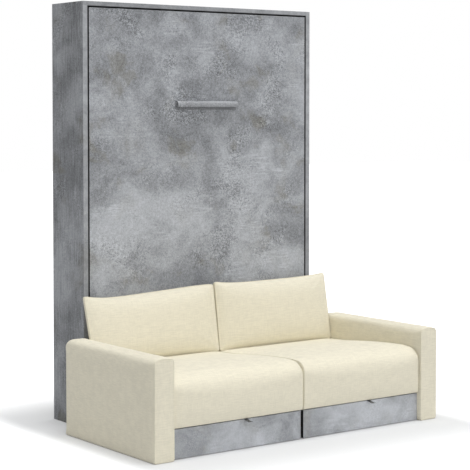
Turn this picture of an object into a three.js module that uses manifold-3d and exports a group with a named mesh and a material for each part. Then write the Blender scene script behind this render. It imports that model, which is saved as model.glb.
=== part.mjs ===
// Vertical wall bed with a two-seat sofa in front of it. Lengths are in millimetres, +Z is up,
// the sofa faces -Y and the origin lies on the floor under the middle of the whole object.
import * as THREE from "three";
import { mergeVertices } from "three/addons/utils/BufferGeometryUtils.js";
import Module from "manifold-3d";

const wasm = await Module();
wasm.setup();

// Driving dimensions: folding bed
const mattressLength = 1900;
const mattressWidth = 1400;
const mattressThickness = 150;
const frontThickness = 18;
const revealGap = 7;
const panelOverhang = 22;
const pivotHeight = 470;
const pivotSetback = 39;
const frameTubeWidth = 25;
const frameTubeDepth = 42;
const tubeWall = 2;
const spineWidth = 30;
const spineDepth = 30;
const slatThickness = 8;
const slatRise = 9;
const plateThickness = 4;
const mechanismGap = 30;
const legBarRadius = 15;
const legBarClearance = 3;

// Driving dimensions: cabinet
const sideThickness = 30;
const topThickness = 25;
const backThickness = 8;
const backInset = 10;
const grooveDepth = 8;
const railThickness = 18;
const railHeight = 100;
const lowRailFloorGap = 60;
const railClearance = 34.8;
const lowerPanelHeight = 281;
const lowerPanelGap = 4;
const bedHeadGap = 1;

// Driving dimensions: sofa
const sofaWidth = 1828;
const armThickness = 116;
const armHeight = 500;
const armOverhang = 27;
const armRearGap = 68;
const boardThickness = 16;
const baseHeight = 134;
const seatOverhang = 5;
const seatRearGap = 75;
const seatTop = 402;
const seatRearTop = 360;
const drawerFrontReach = 875;
const drawerFrontInset = 3.3;
const drawerFrontBottom = 4;
const drawerFrontGap = 18;
const tabReach = 45;

// Clearances
const fit = 0.3;
const runningFit = 0.4;
const drawerSideGap = 2;
const overrun = 5;
const rootDepth = 1;
const weldTolerance = 1e-4;

// Values worked out from the driving dimensions
const halfMattress = mattressWidth / 2;
const slatBed = frontThickness + fit + spineDepth;
const mattressBottom = slatBed + fit + slatThickness + slatRise + fit;
const mattressTopFace = mattressBottom + mattressThickness;
const bedHeadHeight = lowerPanelHeight + lowerPanelGap + bedHeadGap;
const bedFootHeight = bedHeadHeight + mattressLength;
const innerHalf = halfMattress + mechanismGap;
const halfCabinet = innerHalf + sideThickness;
const innerTop = bedFootHeight + panelOverhang + revealGap;
const cabinetHeight = innerTop + topThickness;
const railFront = mattressTopFace + legBarClearance + 2 * legBarRadius + railClearance;
const railRear = railFront + railThickness;
const backFront = railRear + fit;
const cabinetDepth = backFront + backThickness + backInset;
const frontReach = drawerFrontReach + tabReach;
const originShift = (frontReach - cabinetDepth) / 2;
const bedPlateInner = halfMattress + fit;
const bedPlateOuter = bedPlateInner + plateThickness;
const cabinetPlateOuter = innerHalf - fit;
const cabinetPlateInner = cabinetPlateOuter - plateThickness;
const gapCentre = (bedPlateOuter + cabinetPlateInner) / 2;
const armInner = sofaWidth / 2 - armThickness;
const armFront = drawerFrontReach + armOverhang;
const seatFront = drawerFrontReach + seatOverhang;
const deckTop = baseHeight + boardThickness;
const drawerFrontTop = deckTop - drawerFrontInset;

const colours = {
  concrete: 0x94979a,
  fabric: 0xe9e2cd,
  ticking: 0xf1efea,
  steel: 0x3b3d40,
  chrome: 0xc9ccd0,
  birch: 0xd9b98a,
  board: 0xb9b6b0,
  white: 0xdedcd7,
};

function finish(colour, roughness, metalness = 0) {
  return new THREE.MeshStandardMaterial({ color: colour, roughness, metalness });
}

const laminate = () => finish(colours.concrete, 0.62);
const fabric = () => finish(colours.fabric, 0.95);
const ticking = () => finish(colours.ticking, 0.9);
const darkSteel = () => finish(colours.steel, 0.45, 0.8);
const brightSteel = () => finish(colours.chrome, 0.25, 1);
const birch = () => finish(colours.birch, 0.6);
const plainBoard = () => finish(colours.board, 0.75);
const whiteBoard = () => finish(colours.white, 0.7);

const assembly = new THREE.Group();
assembly.position.y = originShift;

function add(name, geometry, material, parent = assembly) {
  const mesh = new THREE.Mesh(geometry, material);
  mesh.name = name;
  parent.add(mesh);
  return mesh;
}

// Geometry helpers
const middle = ([low, high]) => (low + high) / 2;
const length = ([low, high]) => high - low;
const span = (sign, near, far) => (sign > 0 ? [near, far] : [-far, -near]);
const sideName = (sign) => (sign > 0 ? "right" : "left");
const bothSides = [-1, 1];

function box(x, y, z) {
  const geometry = new THREE.BoxGeometry(length(x), length(y), length(z));
  return geometry.translate(middle(x), middle(y), middle(z));
}

function toSolid(geometry) {
  const bare = geometry.clone();
  bare.deleteAttribute("normal");
  bare.deleteAttribute("uv");
  const merged = mergeVertices(bare, weldTolerance);
  return new wasm.Manifold(
    new wasm.Mesh({
      numProp: 3,
      vertProperties: new Float32Array(merged.attributes.position.array),
      triVerts: new Uint32Array(merged.index.array),
    }),
  );
}

function toGeometry(solid) {
  const mesh = solid.getMesh();
  const geometry = new THREE.BufferGeometry();
  const places = new Float32Array(mesh.vertProperties);
  geometry.setAttribute("position", new THREE.BufferAttribute(places, 3));
  geometry.setIndex(new THREE.BufferAttribute(new Uint32Array(mesh.triVerts), 1));
  geometry.computeVertexNormals();
  return geometry;
}

function cut(body, tools) {
  return toGeometry(tools.map(toSolid).reduce((rest, tool) => rest.subtract(tool), toSolid(body)));
}

function join(parts) {
  return toGeometry(parts.map(toSolid).reduce((sum, part) => sum.add(part)));
}

// An outline drawn in Y and Z, carried along X.
function alongX(shape, x, curveSegments = 12) {
  const settings = { depth: length(x), bevelEnabled: false, curveSegments };
  const geometry = new THREE.ExtrudeGeometry(shape, settings);
  const turn = new THREE.Matrix4().makeBasis(
    new THREE.Vector3(0, 1, 0),
    new THREE.Vector3(0, 0, 1),
    new THREE.Vector3(1, 0, 0),
  );
  return geometry.applyMatrix4(turn).translate(x[0], 0, 0);
}

function rectangle(a, b) {
  const shape = new THREE.Shape();
  shape.moveTo(a[0], b[0]);
  shape.lineTo(a[1], b[0]);
  shape.lineTo(a[1], b[1]);
  shape.lineTo(a[0], b[1]);
  shape.closePath();
  return shape;
}

function polygon(points) {
  const shape = new THREE.Shape();
  shape.moveTo(...points[0]);
  points.slice(1).forEach((point) => shape.lineTo(...point));
  shape.closePath();
  return shape;
}

function withHole(shape, y, z, radius) {
  const hole = new THREE.Path();
  hole.absarc(y, z, radius, 0, 2 * Math.PI, true);
  shape.holes.push(hole);
  return shape;
}

function disc(y, z, radius) {
  const shape = new THREE.Shape();
  shape.absarc(y, z, radius, 0, 2 * Math.PI, false);
  return shape;
}

// A rectangular tube with open ends, running along X or Z.
function tubeX(x, y, z) {
  const shape = rectangle(y, z);
  shape.holes.push(rectangle([y[0] + tubeWall, y[1] - tubeWall], [z[0] + tubeWall, z[1] - tubeWall]));
  return alongX(shape, x);
}

function tubeZ(x, y, z) {
  const shape = rectangle(x, y);
  shape.holes.push(rectangle([x[0] + tubeWall, x[1] - tubeWall], [y[0] + tubeWall, y[1] - tubeWall]));
  const geometry = new THREE.ExtrudeGeometry(shape, { depth: length(z), bevelEnabled: false });
  return geometry.translate(0, 0, z[0]);
}

// A soft block: a grid over a box, rounded at its edges and then bent by the form that it is given.
function gridLine(share, count, half, round, edgeSpans) {
  const index = Math.round((share + 0.5) * count);
  const fromEnd = Math.min(index, count - index);
  const side = index * 2 < count ? -1 : 1;
  if (fromEnd <= edgeSpans) {
    const turn = (Math.PI / 4) * ((edgeSpans - fromEnd) / edgeSpans);
    return side * (half - round + round * Math.tan(turn));
  }
  const inner = count - 2 * edgeSpans;
  return (half - round) * ((2 * (index - edgeSpans)) / inner - 1);
}

function softBlock(size, round, spans, edgeSpans, form) {
  const geometry = new THREE.BoxGeometry(1, 1, 1, ...spans);
  geometry.deleteAttribute("normal");
  geometry.deleteAttribute("uv");
  const merged = mergeVertices(geometry, weldTolerance);
  const place = merged.attributes.position;
  const half = size.map((value) => value / 2);
  for (let i = 0; i < place.count; i += 1) {
    const raw = [place.getX(i), place.getY(i), place.getZ(i)];
    const onGrid = raw.map((share, axis) => gridLine(share, spans[axis], half[axis], round, edgeSpans));
    const core = half.map((value) => value - round);
    const inner = onGrid.map((value, axis) => THREE.MathUtils.clamp(value, -core[axis], core[axis]));
    const push = new THREE.Vector3(...onGrid.map((value, axis) => value - inner[axis])).setLength(round);
    const point = new THREE.Vector3(...inner).add(push);
    const share = new THREE.Vector3(point.x / half[0], point.y / half[1], point.z / half[2]);
    form(point, share);
    place.setXYZ(i, point.x, point.y, point.z);
  }
  return merged;
}

const bulge = (share, power = 2) => 1 - Math.min(1, Math.abs(share)) ** power;

// Cabinet: two sides, top, back in a groove, wall rails and the fixed panel behind the sofa
function cabinetSide(sign) {
  const body = box(span(sign, innerHalf, halfCabinet), [0, cabinetDepth], [0, cabinetHeight]);
  const groove = box(
    span(sign, innerHalf - overrun, innerHalf + grooveDepth),
    [backFront - fit, backFront + backThickness + fit],
    [-overrun, cabinetHeight + overrun],
  );
  add(`cabinet_side_${sideName(sign)}`, cut(body, [groove]), laminate());
}

function cabinetTop() {
  const body = box([fit - innerHalf, innerHalf - fit], [0, cabinetDepth], [innerTop, cabinetHeight]);
  const groove = box(
    [-halfCabinet, halfCabinet],
    [backFront - fit, backFront + backThickness + fit],
    [innerTop - overrun, innerTop + grooveDepth],
  );
  add("cabinet_top", cut(body, [groove]), laminate());
}

function cabinetBack() {
  const reach = innerHalf + grooveDepth - fit;
  const geometry = box(
    [-reach, reach],
    [backFront, backFront + backThickness],
    [lowRailFloorGap, innerTop + grooveDepth - fit],
  );
  add("cabinet_back", geometry, whiteBoard());
}

function wallRail(name, z) {
  add(name, box([fit - innerHalf, innerHalf - fit], [railFront, railRear], z), plainBoard());
}

const bracketWidth = 60;
const bracketLeg = 58;
const bracketThickness = 3;
const bracketPlaceShare = 0.66;
const bracketScrewRadius = 4;
const bracketScrewShare = 0.6;

function wallBracket(sign) {
  const rear = railFront - fit;
  const top = innerTop - fit;
  const profile = polygon([
    [rear, top],
    [rear - bracketLeg, top],
    [rear - bracketLeg, top - bracketThickness],
    [rear - bracketThickness, top - bracketThickness],
    [rear - bracketThickness, top - bracketLeg],
    [rear, top - bracketLeg],
  ]);
  const centre = sign * innerHalf * bracketPlaceShare;
  const body = alongX(profile, [centre - bracketWidth / 2, centre + bracketWidth / 2]);
  const holeLength = bracketThickness + 2 * overrun;
  const hole = new THREE.CylinderGeometry(bracketScrewRadius, bracketScrewRadius, holeLength, 16);
  hole.translate(centre, rear, top - bracketLeg * bracketScrewShare);
  add(`wall_bracket_${sideName(sign)}`, cut(body, [hole]), brightSteel());
}

function lowerFrontPanel() {
  const geometry = box([fit - innerHalf, innerHalf - fit], [0, frontThickness], [0, lowerPanelHeight]);
  add("lower_front_panel", geometry, laminate());
}

// Lifting mechanism: a steel plate on each cabinet side, a plate with the pivot pin on the bed frame,
// and a gas strut between them in the gap beside the mattress
const pinRadius = 8;
const strutTopOffset = { y: 95.9, z: 210.1 };
const strutFootOffset = { y: 5.1, z: -91.6 };
const strutTop = { y: pivotSetback + strutTopOffset.y, z: pivotHeight + strutTopOffset.z };
const strutFoot = { y: pivotSetback + strutFootOffset.y, z: pivotHeight + strutFootOffset.z };
const strutStudRadius = 4;
const strutEyeRadius = 10;
const strutEyeWidth = 10;
const strutCylinderRadius = 9;
const strutCylinderLength = 165;
const strutRodRadius = 4;
const strutRodLength = 165;
const strutNeck = 6;
const boltRadius = 3.2;
const plateEdge = 22;
const plateTailShare = 3;
const plateHeadShare = 2;
const plateBoltShares = { tail: 2.2, nose: 1.6, head: 2 };
const bedPlateTail = 156;
const bedPlateHead = 90;
const bedPlateBoltEdge = 20;
const pinCollarShare = 1.8;
const footStubShare = 0.8;

function hingePlate(sign) {
  const tail = plateEdge * plateTailShare;
  const plate = polygon([
    [pivotSetback - plateEdge, pivotHeight - tail],
    [pivotSetback + plateEdge, pivotHeight - tail],
    [pivotSetback + tail, pivotHeight],
    [strutTop.y + plateEdge, strutTop.z - plateEdge],
    [strutTop.y + plateEdge, strutTop.z + plateEdge],
    [strutTop.y - plateEdge, strutTop.z + plateEdge],
    [pivotSetback - plateEdge, pivotHeight + plateEdge * plateHeadShare],
  ]);
  withHole(plate, pivotSetback, pivotHeight, pinRadius + runningFit);
  withHole(plate, pivotSetback, pivotHeight - plateEdge * plateBoltShares.tail, boltRadius);
  withHole(plate, pivotSetback + plateEdge * plateBoltShares.nose, pivotHeight, boltRadius);
  withHole(plate, strutTop.y, strutTop.z - plateEdge * plateBoltShares.head, boltRadius);
  const studStart = gapCentre - strutEyeWidth / 2 - fit;
  const studX = span(sign, studStart, cabinetPlateInner + rootDepth);
  const stud = alongX(disc(strutTop.y, strutTop.z, strutStudRadius), studX);
  const body = alongX(plate, span(sign, cabinetPlateInner, cabinetPlateOuter), 16);
  add(`hinge_plate_${sideName(sign)}`, join([body, stud]), darkSteel());
}

function bedPlate(sign) {
  const low = pivotHeight - bedPlateTail;
  const high = pivotHeight + bedPlateHead;
  const across = [tubeFront + fit, tubeRear];
  const plate = rectangle(across, [low, high]);
  withHole(plate, middle(across), high - bedPlateBoltEdge, boltRadius);
  withHole(plate, middle(across), low + bedPlateBoltEdge, boltRadius);
  const root = bedPlateOuter - rootDepth;
  const pin = alongX(disc(pivotSetback, pivotHeight, pinRadius), span(sign, root, cabinetPlateOuter));
  const collarRing = disc(pivotSetback, pivotHeight, pinRadius * pinCollarShare);
  const collar = alongX(collarRing, span(sign, root, gapCentre));
  const stubRing = disc(strutFoot.y, strutFoot.z, strutEyeRadius * footStubShare);
  const stub = alongX(stubRing, span(sign, root, gapCentre - strutEyeWidth / 2 - fit));
  const body = alongX(plate, span(sign, bedPlateInner, bedPlateOuter));
  add(`bed_plate_${sideName(sign)}`, join([body, pin, collar, stub]), darkSteel());
}

function strutGroup(sign) {
  const group = new THREE.Group();
  const reach = new THREE.Vector2(strutFoot.y - strutTop.y, strutFoot.z - strutTop.z);
  group.position.set(sign * gapCentre, strutTop.y, strutTop.z);
  group.rotation.x = Math.atan2(reach.x, -reach.y);
  assembly.add(group);
  return { group, closedLength: reach.length() };
}

// A strut points down its own -Z from the upper eye.
function strutEye(centre, boreRadius) {
  const ring = withHole(disc(0, centre, strutEyeRadius), 0, centre, boreRadius);
  return alongX(ring, [-strutEyeWidth / 2, strutEyeWidth / 2]);
}

function rod(radius, z, sides = 20) {
  const geometry = new THREE.CylinderGeometry(radius, radius, length(z), sides);
  return geometry.rotateX(Math.PI / 2).translate(0, 0, middle(z));
}

function strut(sign) {
  const { group, closedLength } = strutGroup(sign);
  const start = -strutEyeRadius - strutNeck;
  const bodyEnd = start - strutCylinderLength;
  const boreStart = start - 2 * strutNeck;
  const shell = join([
    rod(strutCylinderRadius, [bodyEnd, start]),
    rod(strutStudRadius, [start - rootDepth, rootDepth - strutEyeRadius], 12),
    strutEye(0, strutStudRadius + runningFit),
  ]);
  const bore = rod(strutRodRadius + runningFit, [bodyEnd - overrun, boreStart], 16);
  add(`strut_cylinder_${sideName(sign)}`, cut(shell, [bore]), darkSteel(), group);
  const rodShape = join([
    rod(strutRodRadius, [strutEyeRadius - rootDepth - closedLength, strutRodLength - closedLength], 16),
    strutEye(-closedLength, strutStudRadius),
  ]);
  add(`strut_rod_${sideName(sign)}`, rodShape, brightSteel(), group);
}

// Folding bed: front panel, handle, steel frame, sprung slats and mattress
function frontPanel() {
  const half = innerHalf - revealGap;
  const z = [lowerPanelHeight + lowerPanelGap, innerTop - revealGap];
  add("front_panel", box([-half, half], [0, frontThickness], z), laminate());
}

// The handle is a bent profile: a plate on the panel, a top with a bevel and a hanging face to grip
// from below.
const handleLength = 404;
const handleHeight = 47;
const handleDepth = 27;
const handleCentre = 1699;
const handleShift = 24;
const handleBevel = 12;
const handleWall = 4;
const handleFaceHeight = 34;

function handle() {
  const front = -handleDepth;
  const rear = -fit;
  const low = handleCentre - handleHeight / 2;
  const high = handleCentre + handleHeight / 2;
  const lip = high - handleFaceHeight;
  const innerBevel = handleBevel + handleWall * Math.tan(Math.PI / 8);
  const profile = polygon([
    [rear, high],
    [front + handleBevel, high],
    [front, high - handleBevel],
    [front, lip],
    [front + handleWall, lip],
    [front + handleWall, high - innerBevel],
    [front + innerBevel, high - handleWall],
    [rear - handleWall, high - handleWall],
    [rear - handleWall, low],
    [rear, low],
  ]);
  const x = [handleShift - handleLength / 2, handleShift + handleLength / 2];
  add("handle", alongX(profile, x), laminate());
}

const tubeFront = frontThickness + fit;
const tubeRear = tubeFront + frameTubeDepth;
const tubeInner = halfMattress - frameTubeWidth;

function bedFrame() {
  const z = [bedHeadHeight, bedFootHeight];
  bothSides.forEach((sign) => {
    const rail = tubeZ(span(sign, tubeInner, halfMattress), [tubeFront, tubeRear], z);
    add(`bed_rail_${sideName(sign)}`, rail, darkSteel());
  });
  const cross = [fit - tubeInner, tubeInner - fit];
  const head = [z[0], z[0] + frameTubeWidth];
  const foot = [z[1] - frameTubeWidth, z[1]];
  add("bed_rail_head", tubeX(cross, [tubeFront, tubeRear], head), darkSteel());
  add("bed_rail_foot", tubeX(cross, [tubeFront, tubeRear], foot), darkSteel());
  const spineX = [-spineWidth / 2, spineWidth / 2];
  const spine = tubeZ(spineX, [tubeFront, slatBed], [head[1] + fit, foot[0] - fit]);
  add("bed_spine", spine, darkSteel());
}

const slatCount = 13;
const slatWidth = 62;
const slatSpans = 8;
const ledgerWidth = 20;
const ledgerDepth = 16;
const slatEndGap = 2;

// One row of sprung slats, bowed towards the mattress, glued to a ledger beside the frame tube.
function slatProfile(x) {
  const shape = new THREE.Shape();
  const across = (step) => x[0] + (length(x) * step) / slatSpans;
  const under = (step) => slatBed + fit + slatRise * bulge((2 * step) / slatSpans - 1);
  shape.moveTo(across(0), under(0));
  for (let step = 1; step <= slatSpans; step += 1) shape.lineTo(across(step), under(step));
  for (let step = slatSpans; step >= 0; step -= 1) {
    shape.lineTo(across(step), under(step) + slatThickness);
  }
  shape.closePath();
  return shape;
}

function slatRow(sign) {
  const outer = tubeInner - fit;
  const z = [bedHeadHeight + frameTubeWidth + fit, bedFootHeight - frameTubeWidth - fit];
  const ledgerTop = slatBed + fit + slatThickness / 2;
  const ledger = box(span(sign, outer - ledgerWidth, outer), [ledgerTop - ledgerDepth, ledgerTop], z);
  const pitch = (length(z) - slatWidth) / (slatCount - 1);
  const slats = Array.from({ length: slatCount }, (_, index) => {
    const profile = slatProfile(span(sign, slatEndGap, outer));
    const slat = new THREE.ExtrudeGeometry(profile, { depth: slatWidth, bevelEnabled: false });
    return slat.translate(0, 0, z[0] + index * pitch);
  });
  add(`slat_row_${sideName(sign)}`, join([ledger, ...slats]), birch());
}

const mattressRound = 28;
const mattressCrown = 3;
const mattressWaist = 3;

function mattress() {
  const size = [mattressWidth - 2 * fit, mattressThickness - mattressCrown, mattressLength];
  const geometry = softBlock(size, mattressRound, [12, 6, 14], 2, (point, share) => {
    if (share.y > 0) point.y += mattressCrown * bulge(share.x) * bulge(share.z);
    const waist = 1 - (mattressWaist / halfMattress) * bulge(share.y);
    point.x *= waist;
  });
  geometry.translate(0, mattressBottom + size[1] / 2, middle([bedHeadHeight, bedFootHeight]));
  add("mattress", geometry, ticking());
}

// End leg: a cranked arm at each side and a bar across, folded over the mattress and swinging
// over the free end to stand on the floor. Its outline is drawn as it stands with the bed open.
const legPivotRise = 45.7;
const legPivotInset = 36;
const legPivot = { y: tubeRear + legPivotRise, z: bedFootHeight - legPivotInset };
const legArmWidth = 18;
const legHalfDepth = 12;
const legOut = 76;
const legFloorGap = 1;
const legPinRadius = 5;
const legBracketWidth = 30;
const legEarShare = 3;
const openPivotHeight = pivotHeight + legPivot.y - pivotSetback;
const legDrop = openPivotHeight - legBarRadius - legFloorGap;
const legReach = Math.hypot(legOut, legDrop);
const foldedRise = mattressTopFace + legBarRadius + legBarClearance - legPivot.y;
const foldedAngle = Math.PI - Math.asin(foldedRise / legReach);
const openAngle = -Math.atan2(legDrop, legOut);
const legTurn = foldedAngle - openAngle;

function legGroup() {
  const group = new THREE.Group();
  group.position.set(0, legPivot.y, legPivot.z);
  group.rotation.x = -legTurn;
  assembly.add(group);
  return group;
}

function legArm(sign, group) {
  const shape = new THREE.Shape();
  shape.moveTo(-legDrop, legOut + legHalfDepth);
  shape.absarc(-legDrop, legOut, legBarRadius, Math.PI / 2, (3 * Math.PI) / 2, false);
  shape.lineTo(-legHalfDepth, legOut - legBarRadius);
  shape.lineTo(-legHalfDepth, 0);
  shape.absarc(0, 0, legHalfDepth, Math.PI, 2 * Math.PI, false);
  shape.lineTo(legHalfDepth, legOut);
  shape.absarc(0, legOut, legHalfDepth, 0, Math.PI / 2, false);
  shape.closePath();
  withHole(shape, 0, 0, legPinRadius + runningFit);
  const x = span(sign, gapCentre - legArmWidth / 2, gapCentre + legArmWidth / 2);
  add(`leg_arm_${sideName(sign)}`, alongX(shape, x, 8), darkSteel(), group);
}

function legCrossbar(group) {
  const shape = withHole(disc(-legDrop, legOut, legBarRadius), -legDrop, legOut, legBarRadius - tubeWall);
  const reach = gapCentre - legArmWidth / 2 - fit;
  add("leg_crossbar", alongX(shape, [-reach, reach]), darkSteel(), group);
}

function legBracket(sign) {
  const low = legPivot.z - legBracketWidth;
  const high = legPivot.z + legBracketWidth;
  const ear = legPinRadius * legEarShare;
  const plate = polygon([
    [tubeFront + fit, low],
    [tubeRear, low],
    [legPivot.y + ear, legPivot.z - ear],
    [legPivot.y + ear, legPivot.z + ear],
    [tubeRear, high],
    [tubeFront + fit, high],
  ]);
  withHole(plate, middle([tubeFront, tubeRear]), low + legBracketWidth / 2, boltRadius);
  withHole(plate, middle([tubeFront, tubeRear]), high - legBracketWidth / 2, boltRadius);
  const body = alongX(plate, span(sign, bedPlateInner, bedPlateOuter));
  const pin = alongX(
    disc(legPivot.y, legPivot.z, legPinRadius),
    span(sign, bedPlateOuter - rootDepth, gapCentre + legArmWidth / 2),
  );
  add(`leg_bracket_${sideName(sign)}`, join([body, pin]), darkSteel());
}

// Sofa base: sides, divider, rear rail, seat deck and the drawer runners
const baseRear = fit + boardThickness;
const baseFront = drawerFrontReach - frontThickness - fit;
const baseSideOuter = armInner - fit;
const baseSideInner = baseSideOuter - boardThickness;
const footLength = 60;
const footHeight = 6;

function standingBoard(x) {
  const shape = polygon([
    [-baseFront, 0],
    [footLength - baseFront, 0],
    [footLength - baseFront, footHeight],
    [-baseRear - fit - footLength, footHeight],
    [-baseRear - fit - footLength, 0],
    [-baseRear - fit, 0],
    [-baseRear - fit, baseHeight - fit],
    [-baseFront, baseHeight - fit],
  ]);
  return alongX(shape, x);
}

function sofaBase() {
  bothSides.forEach((sign) => {
    const x = span(sign, baseSideInner, baseSideOuter);
    add(`base_side_${sideName(sign)}`, standingBoard(x), plainBoard());
  });
  const half = boardThickness / 2;
  add("base_divider", standingBoard([-half, half]), finish(colours.steel, 0.8));
  const rail = box([-baseSideOuter, baseSideOuter], [-baseRear, -fit], [0, baseHeight - fit]);
  add("base_rear_rail", rail, plainBoard());
  const deck = box([-baseSideOuter, baseSideOuter], [-baseFront, -fit], [baseHeight, deckTop]);
  add("seat_deck", deck, plainBoard());
}

const drawerLength = 420;
const runnerHeight = 12;
const runnerDepth = 9;
const runnerFloorGap = 62;
const runnerSetback = 6;
const runnerOverhang = 6.7;
const grooveReach = 8;

function runner(sign, side) {
  const start = side === "outer" ? baseSideInner - fit - runnerDepth : boardThickness / 2 + fit;
  const x = span(sign, start, start + runnerDepth);
  const rear = drawerLength + runnerOverhang - baseFront;
  const z = [runnerFloorGap, runnerFloorGap + runnerHeight];
  const geometry = box(x, [runnerSetback - baseFront, rear], z);
  add(`runner_${sideName(sign)}_${side}`, geometry, birch());
}

// Drawers: a grooved side at each end, back, bottom, front and a bent sheet tab
const drawerSideThickness = 15;
const drawerFloorGap = 15;
const drawerTopGap = 10;
const drawerSideTop = baseHeight - drawerTopGap;
const drawerBottomThickness = 6;
const drawerBottomGap = 22;
const tabWidth = 20;
const tabShift = 46;
const tabThickness = 2;
const tabDrop = 9;
const tabLip = 10;
const tabSeat = 14;
const drawerEndGap = 1;

function drawerSide(sign, side) {
  const isInner = side === "inner";
  const boardFace = isInner ? boardThickness / 2 : baseSideInner;
  const inward = isInner ? 1 : -1;
  const outerFace = boardFace + inward * drawerSideGap;
  const along = (near, far) => span(sign, ...[near, far].sort((a, b) => a - b));
  const rear = drawerLength - baseFront;
  const x = along(outerFace, outerFace + inward * drawerSideThickness);
  const body = box(x, [-baseFront, rear], [drawerFloorGap, drawerSideTop]);
  const groove = box(
    along(outerFace - inward * overrun, outerFace + inward * grooveReach),
    [-baseFront - overrun, rear + overrun],
    [runnerFloorGap - fit, runnerFloorGap + runnerHeight + fit],
  );
  add(`drawer_${sideName(sign)}_${side}_side`, cut(body, [groove]), whiteBoard());
}

function drawerTab(sign) {
  const y = -drawerFrontReach;
  const z = drawerFrontTop + fit;
  const slopeEnd = y - (tabReach - tabLip);
  const profile = polygon([
    [y + tabSeat, z],
    [y - tabThickness, z],
    [slopeEnd, z - tabDrop],
    [-frontReach, z - tabDrop + tabThickness],
    [-frontReach, z - tabDrop + 2 * tabThickness],
    [slopeEnd + tabThickness / 2, z - tabDrop + tabThickness],
    [y, z + tabThickness],
    [y + tabSeat, z + tabThickness],
  ]);
  const centre = (sign * (armInner + drawerFrontGap / 2)) / 2 + tabShift;
  const geometry = alongX(profile, [centre - tabWidth / 2, centre + tabWidth / 2]);
  add(`drawer_${sideName(sign)}_tab`, geometry, darkSteel());
}

function drawer(sign) {
  const name = sideName(sign);
  drawerSide(sign, "inner");
  drawerSide(sign, "outer");
  const frontX = span(sign, drawerFrontGap / 2, armInner - drawerEndGap);
  const frontY = [-drawerFrontReach, frontThickness - drawerFrontReach];
  add(`drawer_${name}_front`, box(frontX, frontY, [drawerFrontBottom, drawerFrontTop]), laminate());
  const near = boardThickness / 2 + drawerSideGap + drawerSideThickness + fit;
  const far = baseSideInner - drawerSideGap - drawerSideThickness - fit;
  const rear = drawerLength - baseFront;
  const bottomZ = [drawerBottomGap, drawerBottomGap + drawerBottomThickness];
  add(`drawer_${name}_bottom`, box(span(sign, near, far), [-baseFront, rear], bottomZ), whiteBoard());
  const backZ = [bottomZ[1] + fit, drawerSideTop];
  const back = box(span(sign, near, far), [rear - drawerSideThickness, rear], backZ);
  add(`drawer_${name}_back`, back, whiteBoard());
  drawerTab(sign);
}

// Upholstery: arms, seat cushions and loose back cushions
const armRound = 20;
const armCrown = 4;
const armRearFall = 16;
const armRearFallPower = 6;
const cushionGap = 1.5;
const seatRound = 30;
const seatCrown = 12;
const seatCrownShare = 1.6;
const seatWaist = 4;
const seatFallPower = 1.5;
const seatFlatShare = -0.5;
const backSideGap = 5;
const backWidth = armInner - cushionGap - backSideGap;
const backHeight = 356;
const backThickest = 132;
const backRound = 38;
const backBulge = 18;
const backRearBulgeShare = 0.33;
const backPinchShare = 0.62;
const backWaist = 7;
const backCrown = 7;
const backLean = THREE.MathUtils.degToRad(12);
const backPanelGap = 6;
const backSeatGap = 0.5;
const seatBottom = deckTop + fit;
const seatBlockHeight = seatTop - seatCrown - seatBottom;
const seatSize = [armInner - 2 * cushionGap, seatFront - seatRearGap, seatBlockHeight];
const seatCentre = { x: armInner / 2, y: -middle([seatRearGap, seatFront]) };

function arm(sign) {
  const size = [armThickness, armFront - armRearGap, armHeight - armCrown];
  const flatShare = (armRound * 2) / size[2] - 1;
  const geometry = softBlock(size, armRound, [6, 12, 8], 2, (point, share) => {
    if (share.z > 0) {
      const rearFall = armRearFall * Math.max(0, share.y) ** armRearFallPower;
      point.z += (armCrown * bulge(share.x) - rearFall) * share.z;
    }
    if (share.z < flatShare) point.z = -size[2] / 2;
  });
  const centre = sign * (armInner + armThickness / 2);
  geometry.translate(centre, -middle([armRearGap, armFront]), size[2] / 2);
  add(`arm_${sideName(sign)}`, geometry, fabric());
}

// How far the seat's top falls to the rear and swells in its middle, at shares of the half sizes.
const seatFall = (share) => (seatTop - seatRearTop - seatCrown / 2) * Math.max(0, share) ** seatFallPower;
const seatSwell = (shareX, shareY) => seatCrown * seatCrownShare * bulge(shareX) * bulge(shareY);

function seatTopAt(x, y) {
  const shareX = (2 * (Math.abs(x) - seatCentre.x)) / seatSize[0];
  const shareY = (2 * (y - seatCentre.y)) / seatSize[1];
  return seatBottom + seatBlockHeight + seatSwell(shareX, shareY) - seatFall(shareY);
}

function seatCushion(sign) {
  const geometry = softBlock(seatSize, seatRound, [12, 12, 7], 2, (point, share) => {
    const upper = (share.z + 1) / 2;
    point.z -= upper * seatFall(share.y);
    if (share.z > 0) point.z += seatSwell(share.x, share.y);
    point.x *= 1 - (2 * seatWaist * bulge(share.y) * bulge(share.z)) / seatSize[0];
    if (share.z < seatFlatShare) point.z = Math.min(point.z, -seatSize[2] / 2);
  });
  geometry.translate(sign * seatCentre.x, seatCentre.y, seatBottom + seatSize[2] / 2);
  add(`seat_cushion_${sideName(sign)}`, geometry, fabric());
}

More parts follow.
